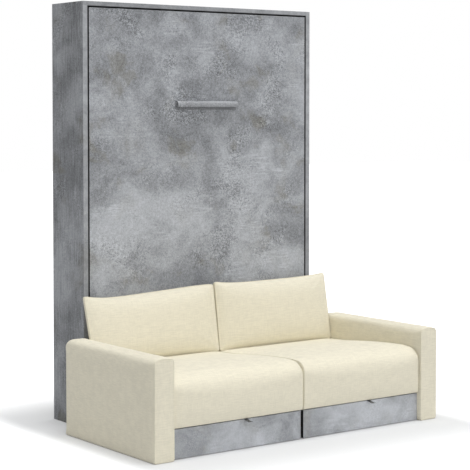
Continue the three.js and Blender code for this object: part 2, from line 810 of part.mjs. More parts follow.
// A back cushion leans on the bed front and is let down until its lowest point meets the seat.
function backCushion(sign) {
  const size = [backWidth, backThickest, backHeight - backCrown];
  const geometry = softBlock(size, backRound, [12, 7, 10], 2, (point, share) => {
    const full = bulge(share.x, 4) * bulge(share.z, 3);
    point.y += (share.y < 0 ? -backBulge : backBulge * backRearBulgeShare) * full;
    const open = Math.sqrt(Math.max(0, bulge(share.x, 6) * bulge(share.z, 8)));
    point.y *= backPinchShare + (1 - backPinchShare) * open;
    if (share.z > 0) point.z += backCrown * bulge(share.x) * share.z;
    point.x *= 1 - (2 * backWaist * bulge(share.z)) / size[0];
  });
  const setOut = (size[2] / 2) * Math.sin(backLean) + (size[1] / 2) * Math.cos(backLean);
  geometry.rotateX(-backLean);
  geometry.translate(sign * (cushionGap + backWidth / 2), -backPanelGap - setOut, 0);
  const place = geometry.attributes.position;
  let drop = Infinity;
  for (let i = 0; i < place.count; i += 1) {
    drop = Math.min(drop, place.getZ(i) - seatTopAt(place.getX(i), place.getY(i)));
  }
  geometry.translate(0, 0, backSeatGap - drop);
  add(`back_cushion_${sideName(sign)}`, geometry, fabric());
}

function cabinet() {
  bothSides.forEach(cabinetSide);
  cabinetTop();
  cabinetBack();
  wallRail("wall_rail_top", [innerTop - fit - railHeight, innerTop - fit]);
  wallRail("wall_rail_low", [lowRailFloorGap, lowRailFloorGap + railHeight]);
  bothSides.forEach(wallBracket);
  lowerFrontPanel();
}

function bed() {
  frontPanel();
  handle();
  bedFrame();
  bothSides.forEach(slatRow);
  mattress();
  bothSides.forEach(legBracket);
  const group = legGroup();
  bothSides.forEach((sign) => legArm(sign, group));
  legCrossbar(group);
}

function mechanism() {
  bothSides.forEach((sign) => {
    hingePlate(sign);
    bedPlate(sign);
    strut(sign);
  });
}

function sofa() {
  sofaBase();
  bothSides.forEach((sign) => {
    runner(sign, "inner");
    runner(sign, "outer");
    drawer(sign);
    arm(sign);
    seatCushion(sign);
    backCushion(sign);
  });
}

cabinet();
bed();
mechanism();
sofa();

export default assembly;
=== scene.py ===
# Looks of the wall bed with sofa: finishes, upholstery, seams, fittings, light and camera.
# Metres, +Z up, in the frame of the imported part. The front of the object faces -Y.
import math

import bpy
import numpy as np
from mathutils import Color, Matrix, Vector


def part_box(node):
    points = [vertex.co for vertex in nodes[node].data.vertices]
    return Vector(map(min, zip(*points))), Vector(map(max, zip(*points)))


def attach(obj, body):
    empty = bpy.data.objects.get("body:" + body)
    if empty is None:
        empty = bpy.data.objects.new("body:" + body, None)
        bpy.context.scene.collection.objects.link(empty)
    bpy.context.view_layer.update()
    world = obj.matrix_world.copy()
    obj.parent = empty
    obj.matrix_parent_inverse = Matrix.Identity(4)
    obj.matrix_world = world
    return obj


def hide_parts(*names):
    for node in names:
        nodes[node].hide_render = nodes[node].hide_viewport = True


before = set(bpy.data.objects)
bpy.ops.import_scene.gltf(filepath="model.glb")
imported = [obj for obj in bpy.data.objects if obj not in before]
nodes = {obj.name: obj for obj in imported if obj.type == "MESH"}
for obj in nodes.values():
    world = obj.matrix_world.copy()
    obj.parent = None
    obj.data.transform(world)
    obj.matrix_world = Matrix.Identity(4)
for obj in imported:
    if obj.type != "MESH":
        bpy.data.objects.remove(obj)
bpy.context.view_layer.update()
MM = 0.001
SIDES = {"left": -1, "right": 1}

# Camera: place, heading from +Y towards +X and dip below the horizon in radians, lens in mm, frame shift.
CAMERA_PLACE = (-4.80365, -6.50524, 1.66767)
CAMERA_HEADING = 0.63622
CAMERA_DIP = 0.04008
CAMERA_SENSOR = 36.0
CAMERA_LENS = 115.77
CAMERA_SHIFT = -0.135

# The opening of the cabinet's frame, and the black painted shade that lines it in place of the shade in
# the gap round the bed's panel: its width on the frame's front, how far back it reaches on the faces that
# look inward, and how soft its edge is.
FRAME_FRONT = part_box("cabinet_top")[0].y
OPENING_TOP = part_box("cabinet_top")[0].z
OPENING_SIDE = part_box("cabinet_side_right")[0].x
GAP_SHADE_WIDTH = 5.5 * MM
GAP_SHADE_DEPTH = 20 * MM
SOFT_EDGE = 2 * MM


# Finishes


def screen_colour(code):
    """A screen colour such as 97999C as linear red, green, blue and alpha."""
    share = [int(code[i : i + 2], 16) / 255 for i in (0, 2, 4)]
    return (*Color(share).from_srgb_to_scene_linear(), 1.0)


class Finish:
    """A Principled material fed by procedural nodes in object space."""

    def __init__(self, name, roughness, metallic=0.0):
        self.material = bpy.data.materials.new(name)
        self.material.use_nodes = True
        self.tree = self.material.node_tree
        self.shader = self.tree.nodes["Principled BSDF"]
        self.plain("Metallic", metallic)
        self.set("Roughness", roughness)
        space = self.tree.nodes.new("ShaderNodeTexCoord")
        self.place = space.outputs["Object"]
        self.normal = space.outputs["Normal"]

    def feed(self, socket, value):
        if isinstance(value, bpy.types.NodeSocket):
            self.tree.links.new(value, socket)
        else:
            socket.default_value = value

    def set(self, name, value):
        self.feed(self.shader.inputs[name], value)

    def plain(self, name, value):
        """A value that is the same all over, on the shader's own socket."""
        self.shader.inputs[name].default_value = value

    def colour(self):
        """The socket that feeds the base colour so far."""
        return self.shader.inputs["Base Color"].links[0].from_socket

    def calc(self, operation, *values, clamp=False):
        node = self.tree.nodes.new("ShaderNodeMath")
        node.operation = operation
        node.use_clamp = clamp
        for socket, value in zip(node.inputs, values):
            self.feed(socket, value)
        return node.outputs["Value"]

    def plus(self, first, second, clamp=False):
        return self.calc("ADD", first, second, clamp=clamp)

    def minus(self, first, second):
        return self.calc("SUBTRACT", first, second)

    def times(self, first, *others):
        for other in others:
            first = self.calc("MULTIPLY", first, other)
        return first

    def size(self, value):
        return self.calc("ABSOLUTE", value)

    def blend(self, first, second, share):
        """Both values together, share of the first and the rest of the second."""
        return self.plus(self.times(first, share), self.times(second, 1 - share))

    def stretched(self, scale, shift=(0.0, 0.0, 0.0)):
        node = self.tree.nodes.new("ShaderNodeMapping")
        self.feed(node.inputs["Vector"], self.place)
        node.inputs["Scale"].default_value = scale
        node.inputs["Location"].default_value = shift
        return node.outputs["Vector"]

    def moved(self, *shift):
        return self.stretched((1, 1, 1), shift)

    def noise(self, scale, detail=2.0, rough=0.5, twist=0.0, place=None):
        node = self.tree.nodes.new("ShaderNodeTexNoise")
        self.feed(node.inputs["Vector"], place or self.place)
        node.inputs["Scale"].default_value = scale
        node.inputs["Detail"].default_value = detail
        node.inputs["Roughness"].default_value = rough
        node.inputs["Distortion"].default_value = twist
        return node.outputs["Fac"]

    def lines(self, scale, detail=2.0, rough=0.6, twist=0.0):
        """Noise with a scale of its own along each axis, so that it draws out into lines."""
        return self.noise(1.0, detail, rough, twist, self.stretched(scale))

    def ramp(self, value, low, high, to_low=0.0, to_high=1.0):
        """A smooth step from to_low to to_high, as value goes from low to high."""
        node = self.tree.nodes.new("ShaderNodeMapRange")
        node.interpolation_type = "SMOOTHSTEP"
        for name, each in (
            ("Value", value),
            ("From Min", low),
            ("From Max", high),
            ("To Min", to_low),
            ("To Max", to_high),
        ):
            self.feed(node.inputs[name], each)
        return node.outputs["Result"]

    def mix(self, share, first, second):
        node = self.tree.nodes.new("ShaderNodeMix")
        node.data_type = "RGBA"
        colours = [socket for socket in node.inputs if socket.type == "RGBA"]
        self.feed(node.inputs[0], share)
        for socket, colour in zip(colours, (first, second)):
            self.feed(socket, screen_colour(colour) if isinstance(colour, str) else colour)
        return next(socket for socket in node.outputs if socket.type == "RGBA")

    def split(self, vector):
        node = self.tree.nodes.new("ShaderNodeSeparateXYZ")
        self.feed(node.inputs["Vector"], vector)
        return [node.outputs[axis] for axis in "XYZ"]

    def facing(self, axis, low=0.5, high=0.7, most=1.0):
        """Up to most on faces that look along an axis, either way, and 0 on the others."""
        return self.ramp(self.size(self.split(self.normal)["XYZ".index(axis)]), low, high, 0.0, most)

    def bump(self, height, depth, strength):
        node = self.tree.nodes.new("ShaderNodeBump")
        node.inputs["Strength"].default_value = strength
        node.inputs["Distance"].default_value = depth
        self.feed(node.inputs["Height"], height)
        self.set("Normal", node.outputs["Normal"])


# The laminate gets a little darker from the first of these heights to the second.
LAMINATE_HEIGHTS = (0.8, 2.2)


def concrete(name="concrete_laminate", speckle=1.25, contrast=0.5):
    """Mottled concrete-look laminate: cloudy fields, speckled in patches, brushed where pale.

    speckle is the strength of the grit and contrast that of the clouds. Faces that look along X
    are darker with painted shade, and brushed upright.
    """
    m = Finish(name, 0.6)
    side = m.facing("X")
    clouds = m.noise(1.7, 4.0, 0.55, 0.7, m.moved(3.1, 0.4, 1.7))
    patches = m.noise(5.2, 4.0, 0.6, 0.7, m.stretched((1, 1, 1.2), (0.3, 2.4, 6.1)))
    field = m.ramp(m.blend(clouds, patches, 0.6), 0.36, 0.64)

    grain = m.noise(105.0, 2.0, 0.7)
    speck = m.noise(210.0, 1.0, 0.6, 0.0, m.moved(5.1, 1.2, 0.7))
    rough = m.ramp(m.noise(3.4, 3.0, 0.6, 0.5, m.moved(1.2, 7.7, 3.3)), 0.5, 0.66, 0.65, 1.55)
    grit = m.plus(m.minus(grain, 0.5), m.minus(speck, 0.5))
    grit = m.times(grit, rough, m.ramp(side, 0.0, 1.0, speckle, 0.9))

    level = m.lines((9, 9, 170), 3.0, 0.65, 0.3)
    upright = m.lines((150, 150, 6), 3.0, 0.65, 0.2)
    worn = m.ramp(m.noise(4.6, 3.0, 0.6, 0.3, m.stretched((1, 1, 2.2))), 0.53, 0.62)
    worn = m.times(worn, m.ramp(field, 0.3, 0.8, 0.0, 0.9), 1.7, m.minus(1.0, side))
    brush = m.times(m.ramp(level, 0.42, 0.68, -0.05, 0.2), worn)
    brush = m.plus(brush, m.times(m.minus(upright, 0.5), side, 1.3))

    relief = m.plus(grit, brush)
    base = m.plus(m.times(m.minus(field, 0.5), contrast), 0.47)
    base = m.plus(base, m.ramp(m.split(m.place)[2], *LAMINATE_HEIGHTS, 0.06, -0.04))
    tone = m.plus(base, m.times(relief, 0.9), clamp=True)
    colour = m.mix(tone, "57595C", "C1C4C9")

    stain_place = m.moved(8.3, 2.2, 4.9)
    stain = m.ramp(m.noise(5.0, 4.0, 0.6, 0.5, stain_place), 0.55, 0.66)
    stain = m.times(stain, m.ramp(field, 0.1, 0.7, 0.6, 0.1))
    colour = m.mix(stain, colour, m.mix(tone, "53514A", "AAA79C"))
    flecks = m.ramp(m.noise(80.0, 1.0, 0.4, 0.0, stain_place), 0.73, 0.8)
    colour = m.mix(m.times(flecks, 0.5), colour, "D3D5D7")

    # Painted shade: faces that look along X are mixed 0.3 of the way to black.
    m.set("Base Color", m.mix(side, colour, m.mix(0.3, colour, "000000")))
    m.set("Roughness", m.ramp(tone, 0.1, 0.9, 0.66, 0.52))
    m.bump(relief, 0.4 * MM, 0.3)
    return m


# Black for painted shade: round the opening of the cabinet's frame, and on the edges of the bed's panel
# and the drawers.
GAP_SHADE_BLACK = "0C0D0E"
EDGE_SHADE_BLACK = "1F2022"
LAMINATE_PALE = "E4E7EB"
# The frame's front is darker along its top up to the first of these places across, and has painted shade
# low down, beside the sofa, up to the first of these heights. Both have faded out at the second.
TOP_DARK = (0.05, 0.65)
FOOT_PAINTED_SHADE = (0.95, 1.15)


def frame_finish():
    """The cabinet's frame: paler bands on its front, darker low down with painted shade, and a black band
    of painted shade that lines its opening.
    """
    m = concrete("concrete_frame")
    laminate = m.colour()
    across, _, up = m.split(m.normal)
    x, y, z = m.split(m.place)
    front = m.facing("Y")
    mottle = m.noise(24.0, 4.0, 0.65, 0.0, m.moved(0.0, 0.0, 9.0))
    band = m.mix(m.ramp(mottle, 0.3, 0.7), "8E9093", "ABADB0")
    top = m.times(m.ramp(z, OPENING_TOP, OPENING_TOP + SOFT_EDGE), m.ramp(x, *TOP_DARK, 0.3, 0.0))
    # Painted shade low down on the frame's front, beside the sofa.
    foot = m.ramp(z, *FOOT_PAINTED_SHADE, 0.34, 0.0)
    band = m.mix(m.plus(top, foot, clamp=True), band, "3C3D40")
    colour = m.mix(m.times(front, 0.7), laminate, band)

    # Painted shade: a black band on the frame's front round the opening, and on the faces that look
    # inward near the front, stands in for the shade in the gap round the bed's panel.
    beside = m.ramp(m.size(x), OPENING_SIDE, OPENING_SIDE + GAP_SHADE_WIDTH, 1.0, 0.0)
    below = m.ramp(z, OPENING_TOP + GAP_SHADE_WIDTH, OPENING_TOP)
    colour = m.mix(m.times(front, beside, below), colour, GAP_SHADE_BLACK)
    inward = m.calc("MAXIMUM", m.ramp(m.times(across, x), -0.3, -0.4), m.ramp(up, -0.5, -0.7))
    shade_end = FRAME_FRONT + GAP_SHADE_DEPTH
    near = m.ramp(y, shade_end, shade_end + SOFT_EDGE, 1.0, 0.0)
    m.set("Base Color", m.mix(m.times(near, inward), colour, GAP_SHADE_BLACK))
    return m


def panel_finish():
    """The bed's front panel, with black bands of painted shade on its edges."""
    m = concrete("concrete_panel")
    # Painted shade: faces that do not look along Y are black, as the panel's edges stand in shadowed
    # gaps.
    m.set("Base Color", m.mix(m.facing("Y", 0.3, 0.6), EDGE_SHADE_BLACK, m.colour()))
    return m


def drawer_finish():
    """The drawers' fronts: a little paler and smoother, with black bands of painted shade on their ends.
    """
    m = concrete("concrete_drawer", speckle=0.6, contrast=0.75)
    pale = m.mix(0.14, m.colour(), LAMINATE_PALE)
    # Painted shade: faces that look along X, the ends in the gap between the drawers, are black.
    m.set("Base Color", m.mix(m.facing("X", 0.5, 0.8), pale, EDGE_SHADE_BLACK))
    return m


# Painted shade on the handle's face fades out up to this share of its height.
HANDLE_SHADE_SHARE = 0.75


def handle_finish():
    """The handle: the panel's laminate, darker with painted shade low on its face, on its ends and in the
    finger space.
    """
    m = concrete("concrete_handle")
    _, deep, up = m.split(m.normal)
    low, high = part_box("handle")
    pale_from = low.z + HANDLE_SHADE_SHARE * (high.z - low.z)
    face = m.ramp(m.times(deep, -1.0), 0.85, 0.95)
    shade = m.ramp(m.split(m.place)[2], low.z, pale_from, 0.52, 0.02)
    ends = m.facing("X", 0.6, 0.9, most=0.6)
    under = m.ramp(up, -0.6, -0.9, 0.0, 0.6)
    # Painted shade: the lower face, the ends and the faces that look down are darkened.
    dark = m.plus(m.times(face, shade), m.plus(ends, under), clamp=True)
    pale = m.mix(0.16, m.colour(), LAMINATE_PALE)
    m.set("Base Color", m.mix(dark, pale, "141517"))
    return m


def tab_finish():
    """Painted sheet: dark grey on top, near black on its cut sides and below, as painted light and shade.
    """
    m = Finish("tab_steel", 0.45)
    _, _, up = m.split(m.normal)
    peel = m.noise(900.0, 2.0, 0.6)
    dark = m.mix(peel, "101112", "1E1F20")
    pale = m.mix(peel, "424345", "525355")
    # Painted light and shade: faces that look up are paler than the sides and the faces below.
    m.set("Base Color", m.mix(m.ramp(up, 0.3, 0.7), dark, pale))
    m.bump(peel, 0.1 * MM, 0.4)
    return m


def weave_height(m, pitch):
    """Height of a plain weave on faces that look any way, from sine waves along the three axes."""
    waves = [m.calc("SINE", m.times(axis, math.tau / pitch)) for axis in m.split(m.place)]
    facing = [m.calc("POWER", m.size(axis), 4.0) for axis in m.split(m.normal)]
    height = 0.0
    for axis in range(3):
        crossing = m.times(waves[(axis + 1) % 3], waves[(axis + 2) % 3])
        height = m.plus(height, m.times(crossing, facing[axis]))
    return height


def fabric(name, tint, weave_pitch=2.4 * MM):
    """Plain woven upholstery cloth: fine threads that vary along both ways, with a soft sheen."""
    m = Finish(name, 0.92)
    height = weave_height(m, weave_pitch)
    warp = m.lines((22, 22, 330))
    weft = m.lines((330, 22, 22))
    depth = m.lines((22, 330, 22))
    threads = m.plus(m.plus(m.times(warp, 1.5), weft), m.times(depth, 0.5))
    slub = m.noise(300.0, 2.0, 0.6)
    wear = m.noise(3.0)
    dark = Vector(screen_colour(tint)) * 0.89
    pale = Vector(screen_colour(tint)) * 1.08
    tone = m.plus(m.ramp(threads, 1.1, 1.9, 0.0, 0.6), m.times(slub, 0.4))
    tone = m.plus(tone, m.times(m.minus(wear, 0.5), 0.1), clamp=True)
    # Painted shade: a little darker in the hollows of the weave.
    tone = m.plus(tone, m.times(height, 0.07), clamp=True)
    m.set("Base Color", m.mix(tone, (*dark[:3], 1.0), (*pale[:3], 1.0)))
    m.plain("Sheen Weight", 0.2)
    m.plain("Sheen Roughness", 0.5)
    m.plain("Specular IOR Level", 0.2)
    m.bump(m.plus(m.times(height, 0.5), m.plus(m.times(slub, 0.8), threads)), 0.4 * MM, 0.4)
    return m


def ticking():
    """Knitted mattress cloth with a small raised dot, and painted shade in its hollows, darker with a
    slightly yellow cast.
    """
    m = Finish("mattress_ticking", 0.88)
    height = weave_height(m, 9 * MM)
    knit = m.noise(600.0, 2.0, 0.6)
    # Painted shade: darker and a little yellow in the hollows of the knit.
    tone = m.plus(m.ramp(height, -0.6, 0.8, 0.1, 0.8), m.times(knit, 0.25), clamp=True)
    m.set("Base Color", m.mix(tone, "D9D7CF", "F3F2EC"))
    m.plain("Sheen Weight", 0.2)
    m.bump(m.plus(height, m.times(knit, 0.6)), 0.8 * MM, 0.5)
    return m


def birch():
    """Lacquered birch with its grain along X."""
    m = Finish("birch_wood", 0.38)
    grain = m.lines((5, 160, 160), 5.0, 0.65, 0.6)
    figure = m.lines((1.5, 30, 14), 2.0, 0.5, 1.0)
    pores = m.lines((60, 1400, 1400), 2.0, 0.7)
    colour = m.mix(m.ramp(m.blend(grain, figure, 0.55), 0.3, 0.7), "C79F6C", "E8CFA3")
    m.set("Base Color", m.mix(m.ramp(pores, 0.62, 0.75, 0.0, 0.35), colour, "A67C4C"))
    m.plain("Coat Weight", 0.3)
    m.plain("Coat Roughness", 0.25)
    m.bump(m.plus(grain, pores), 0.2 * MM, 0.3)
    return m


def board(name, dark, pale):
    """Melamine-faced board: a fine orange-peel bump and faint cloudiness."""
    m = Finish(name, 0.5)
    haze = m.noise(14.0, 4.0, 0.6)
    peel = m.noise(800.0)
    grit = m.noise(260.0, 2.0, 0.6)
    m.set("Base Color", m.mix(m.ramp(m.blend(haze, grit, 0.7), 0.3, 0.7), dark, pale))
    m.set("Roughness", m.ramp(haze, 0.3, 0.7, 0.42, 0.56))
    m.bump(peel, 0.1 * MM, 0.4)
    return m


def powder_coat():
    """Fine-textured dark powder coat on steel, a little worn."""
    m = Finish("dark_painted_steel", 0.42, 0.35)
    peel = m.noise(1300.0, 2.0, 0.6)
    dust = m.noise(22.0, 4.0, 0.6)
    m.set("Base Color", m.mix(m.ramp(m.blend(peel, dust, 0.5), 0.3, 0.7), "2E2F31", "4A4B4D"))
    m.set("Roughness", m.ramp(dust, 0.3, 0.7, 0.36, 0.52))
    m.bump(peel, 0.15 * MM, 0.6)
    return m


def bright_metal(name, dark, pale, roughness, stretch):
    """Bare metal with fine lines left by grinding or rolling."""
    m = Finish(name, roughness, 1.0)
    lines = m.lines(stretch, 3.0)
    bloom = m.noise(18.0, 4.0, 0.6)
    m.set("Base Color", m.mix(m.ramp(m.blend(lines, bloom, 0.4), 0.3, 0.7), dark, pale))
    m.set("Roughness", m.ramp(bloom, 0.3, 0.7, roughness * 0.8, roughness * 1.3))
    m.bump(lines, 0.1 * MM, 0.25)
    return m


FINISHES = {
    "concrete_laminate": concrete(),
    "cream_fabric": fabric("cream_fabric", "E2DCC8"),
    "mattress_ticking": ticking(),
    "birch_wood": birch(),
    "pale_board": board("pale_board", "D6D4CF", "DEDCD7"),
    "carcass_board": board("carcass_board", "98999A", "A4A5A5"),
    "dark_board": board("dark_board", "262728", "343536"),
    "dark_painted_steel": powder_coat(),
    "chromed_rod": bright_metal("chromed_rod", "C9CCCF", "E6E8EA", 0.16, (40, 900, 900)),
    "zinc_steel": bright_metal("zinc_steel", "A9ADB1", "CBCED2", 0.34, (900, 60, 60)),
}
FRAME_FINISH = frame_finish()
PANEL_FINISH = panel_finish()
TAB_FINISH = tab_finish()
DRAWER_FINISH = drawer_finish()
OWN_FINISHES = {
    "handle": handle_finish(),
    "drawer_left_front": DRAWER_FINISH,
    "drawer_right_front": DRAWER_FINISH,
    "drawer_left_tab": TAB_FINISH,
    "drawer_right_tab": TAB_FINISH,
    "cabinet_side_left": FRAME_FINISH,
    "cabinet_side_right": FRAME_FINISH,
    "cabinet_top": FRAME_FINISH,
    "front_panel": PANEL_FINISH,
}


# Edges of the carried-over nodes


def smooth_by_angle(limit):
    """A node group that shades smooth across edges flatter than limit and keeps the rest sharp."""
    group = bpy.data.node_groups.new("smooth_by_angle", "GeometryNodeTree")
    group.interface.new_socket("Geometry", in_out="INPUT", socket_type="NodeSocketGeometry")
    group.interface.new_socket("Geometry", in_out="OUTPUT", socket_type="NodeSocketGeometry")
    start = group.nodes.new("NodeGroupInput")
    bare = group.nodes.new("GeometryNodeRemoveAttribute")
    bare.inputs["Name"].default_value = "custom_normal"
    faces = group.nodes.new("GeometryNodeSetShadeSmooth")
    edges = group.nodes.new("GeometryNodeSetShadeSmooth")
    edges.domain = "EDGE"
    edges.inputs["Shade Smooth"].default_value = False
    angle = group.nodes.new("GeometryNodeInputMeshEdgeAngle")
    steep = group.nodes.new("FunctionNodeCompare")
    steep.operation = "GREATER_THAN"
    steep.inputs["B"].default_value = limit
    end = group.nodes.new("NodeGroupOutput")
    link = group.links.new
    link(start.outputs[0], bare.inputs["Geometry"])
    link(bare.outputs[0], faces.inputs["Geometry"])
    link(faces.outputs[0], edges.inputs["Geometry"])
    link(angle.outputs["Unsigned Angle"], steep.inputs["A"])
    link(steep.outputs["Result"], edges.inputs["Selection"])
    link(edges.outputs[0], end.inputs[0])
    return group


SMOOTHING = smooth_by_angle(math.radians(38))
WELD = 0.01 * MM
EDGE_LIMIT = math.radians(40)
EDGE_SEGMENTS = 2


def soften_edges(node, radius):
    """A small round on the sharp edges, with flat faces kept flat. It leaves the mesh as it is."""
    weld = node.modifiers.new("weld", "WELD")
    weld.merge_threshold = WELD
    bevel = node.modifiers.new("edge", "BEVEL")
    bevel.width = radius
    bevel.segments = EDGE_SEGMENTS
    bevel.limit_method = "ANGLE"
    bevel.angle_limit = EDGE_LIMIT
    bevel.use_clamp_overlap = True
    smooth = node.modifiers.new("smooth", "NODES")
    smooth.node_group = SMOOTHING
    flat = node.modifiers.new("flat", "WEIGHTED_NORMAL")
    flat.keep_sharp = True


EDGE_RADIUS = {
    "concrete_laminate": 0.9 * MM,
    "pale_board": 0.7 * MM,
    "carcass_board": 0.7 * MM,
    "dark_board": 0.7 * MM,
    "birch_wood": 1.2 * MM,
    "dark_painted_steel": 0.5 * MM,
    "chromed_rod": 0.3 * MM,
    "zinc_steel": 0.4 * MM,
}


def dress_nodes():
    for name, node in nodes.items():
        slot = node.active_material.name.split(".")[0]
        node.material_slots[0].material = FINISHES[slot].material
        if name in OWN_FINISHES:
            node.material_slots[0].material = OWN_FINISHES[name].material
        if slot in EDGE_RADIUS:
            soften_edges(node, EDGE_RADIUS[slot])


# Padded forms

TINY = 1e-9
# How close to 1 a share counts as on the edge.
EDGE_TOLERANCE = 1e-6
# Points on each half of a corner's round.
ROUND_STEPS = 12


def lattice(counts):
    """Index triples and quads of a box's surface, with counts spans along its three axes."""
    index = {}
    quads = []
    for axis in range(3):
        u, v = (axis + 1) % 3, (axis + 2) % 3
        for end in (0, counts[axis]):
            turns = [(0, 0), (1, 0), (1, 1), (0, 1)]
            if end == 0:
                turns.reverse()
            for i in range(counts[u]):
                for j in range(counts[v]):
                    quad = []
                    for step_u, step_v in turns:
                        place = [0, 0, 0]
                        place[axis] = end
                        place[u] = i + step_u
                        place[v] = j + step_v
                        quad.append(index.setdefault(tuple(place), len(index)))
                    quads.append(quad)
    return np.array(list(index)), quads


def rounded_outline(half, radii):
    """The place q from 0 to 8, the points and the outward normals round a rounded rectangle.

    q runs two units a side from the middle of one corner to the middle of the next: the +b side
    first, then +c, -b and -c. radii are those of the corners (+b, +c), (-b, +c), (-b, -c), (+b, -c).
    """
    signs = [(1, 1), (-1, 1), (-1, -1), (1, -1)]
    points, normals, places = [], [], []
    for side in range(4):
        ends = [(side - 1) % 4, side]
        start = (side - 1) * math.pi / 2 + math.pi / 4
        run = []
        for corner, angles in (
            (ends[0], np.linspace(0, math.pi / 4, ROUND_STEPS)),
            (ends[1], np.linspace(math.pi / 4, math.pi / 2, ROUND_STEPS)),
        ):
            radius = radii[corner]
            centre = [signs[corner][k] * (half[k] - radius) for k in range(2)]
            for angle in angles:
                turn = start + angle
                normal = (math.cos(turn), math.sin(turn))
                run.append(([centre[k] + radius * normal[k] for k in range(2)], normal))
        line = np.array([point for point, _ in run])
        gaps = np.linalg.norm(np.diff(line, axis=0), axis=1)
        along = np.concatenate([[0], np.cumsum(gaps)])
        places.extend(2 * side + 2 * along / along[-1])
        points.extend(point for point, _ in run)
        normals.extend(normal for _, normal in run)
    order = np.maximum.accumulate(np.array(places) + TINY * np.arange(len(places)))
    return order, np.array(points), np.array(normals)


class Shell:
    """A closed, box-like grid: rows go through it, its outline runs round them, two caps close it.

    Each point has a depth, through the form, and a place, across and up in the outline's plane.
    Shape functions move these before the grid is set in the object's frame.
    """

    def __init__(self, half_depth, half, radii, edge, counts, edge_rows=3):
        self.half_depth, self.half = half_depth, np.array(half)
        index, self.quads = lattice(counts)
        rows, columns, heights = index.T
        square = np.stack([2 * columns / counts[1] - 1, 2 * heights / counts[2] - 1], 1)
        reach = np.abs(square).max(1)
        on_edge = square / np.maximum(reach, TINY)[:, None]
        q = self.outline_place(on_edge)
        order, points, normals = rounded_outline(half, radii)
        ring = np.stack([np.interp(q, order, points[:, k]) for k in range(2)], 1)
        normal = np.stack([np.interp(q, order, normals[:, k]) for k in range(2)], 1)
        turn = np.linspace(0, math.pi / 2, edge_rows + 1)
        inner = counts[0] - 2 * edge_rows
        core = np.linspace(edge - half_depth, half_depth - edge, inner + 1)
        low = edge - half_depth - edge * np.sin(turn[::-1])
        high = half_depth - edge + edge * np.sin(turn)
        row_depth = np.concatenate([low[:-1], core, high[1:]])
        inset = edge * (1 - np.cos(turn))
        row_inset = np.concatenate([inset[::-1][:-1], np.zeros(inner + 1), inset[1:]])
        self.depth = row_depth[rows]
        self.place = reach[:, None] * (ring - normal * row_inset[rows][:, None])
        self.rows, self.q = rows, q
        self.side = reach > 1 - EDGE_TOLERANCE

    @staticmethod
    def outline_place(on_edge):
        """The place q, as in rounded_outline, of points on the edge of a square from -1 to 1."""
        b, c = on_edge.T
        edge = 1 - EDGE_TOLERANCE
        q = np.zeros(len(b))
        q = np.where(c <= -edge, 7 + b, q)
        q = np.where(b <= -edge, 5 - c, q)
        q = np.where(c >= edge, 3 - b, q)
        q = np.where(b >= edge, 1 + c, q)
        return q

    def shares(self):
        """Depth, across and up as shares of the half sizes."""
        return self.depth / self.half_depth, *(self.place / self.half).T

    def loop(self, row):
        """Vertex numbers round one row, in order."""
        chosen = np.nonzero(self.side & (self.rows == row))[0]
        return chosen[np.argsort(self.q[chosen])]

    def turned_quads(self):
        """The quads for a form whose depth runs along +Y and its outline along +X and +Z."""
        return [quad[::-1] for quad in self.quads]

    def points(self, origin, through, across, up):
        """All points in the object's frame."""
        axes = [np.array(axis, float) for axis in (through, across, up)]
        spread = zip((self.depth, *self.place.T), axes)
        return np.array(origin, float) + sum(value[:, None] * axis for value, axis in spread)


def mesh_piece(name, points, faces, finish, smooth=True):
    mesh = bpy.data.meshes.new(name)
    mesh.from_pydata([tuple(p) for p in points], [], [list(face) for face in faces])
    mesh.validate()
    if smooth:
        mesh.shade_smooth()
    else:
        mesh.shade_flat()
    mesh.materials.append(finish.material)
    piece = bpy.data.objects.new(name, mesh)
    bpy.context.scene.collection.objects.link(piece)
    return piece


def bulge(share, power=2.0):
    return 1 - np.minimum(1, np.abs(share)) ** power


def smoothstep(low, high, value):
    t = np.clip((value - low) / (high - low), 0, 1)
    return t * t * (3 - 2 * t)


def coordinates(piece):
    flat = np.zeros(3 * len(piece.data.vertices), np.float32)
    piece.data.vertices.foreach_get("co", flat)
    return flat.reshape(-1, 3).astype(float)


def write_coordinates(piece, points):
    piece.data.vertices.foreach_set("co", np.asarray(points, np.float32).ravel())
    piece.data.update()


SETTLE_FRAMES = 20
CLOTH_STEPS = 6
CLOTH_MASS = 0.3
CLOTH_STIFFNESS = 18.0
CLOTH_BENDING = 0.6


def cloth_on(piece, pinned, pressure):
    group = piece.vertex_groups.new(name="pins")
    group.add([int(i) for i in pinned], 1.0, "REPLACE")
    cloth = piece.modifiers.new("settle", "CLOTH")
    settings = cloth.settings
    settings.quality = CLOTH_STEPS
    settings.mass = CLOTH_MASS
    settings.tension_stiffness = CLOTH_STIFFNESS
    settings.compression_stiffness = CLOTH_STIFFNESS
    settings.shear_stiffness = CLOTH_STIFFNESS / 3
    settings.bending_stiffness = CLOTH_BENDING
    settings.use_pressure = True
    settings.uniform_pressure_force = pressure
    settings.vertex_group_mass = "pins"
    settings.effector_weights.gravity = 0.0
    cloth.point_cache.frame_start = 1
    cloth.point_cache.frame_end = SETTLE_FRAMES
    return cloth


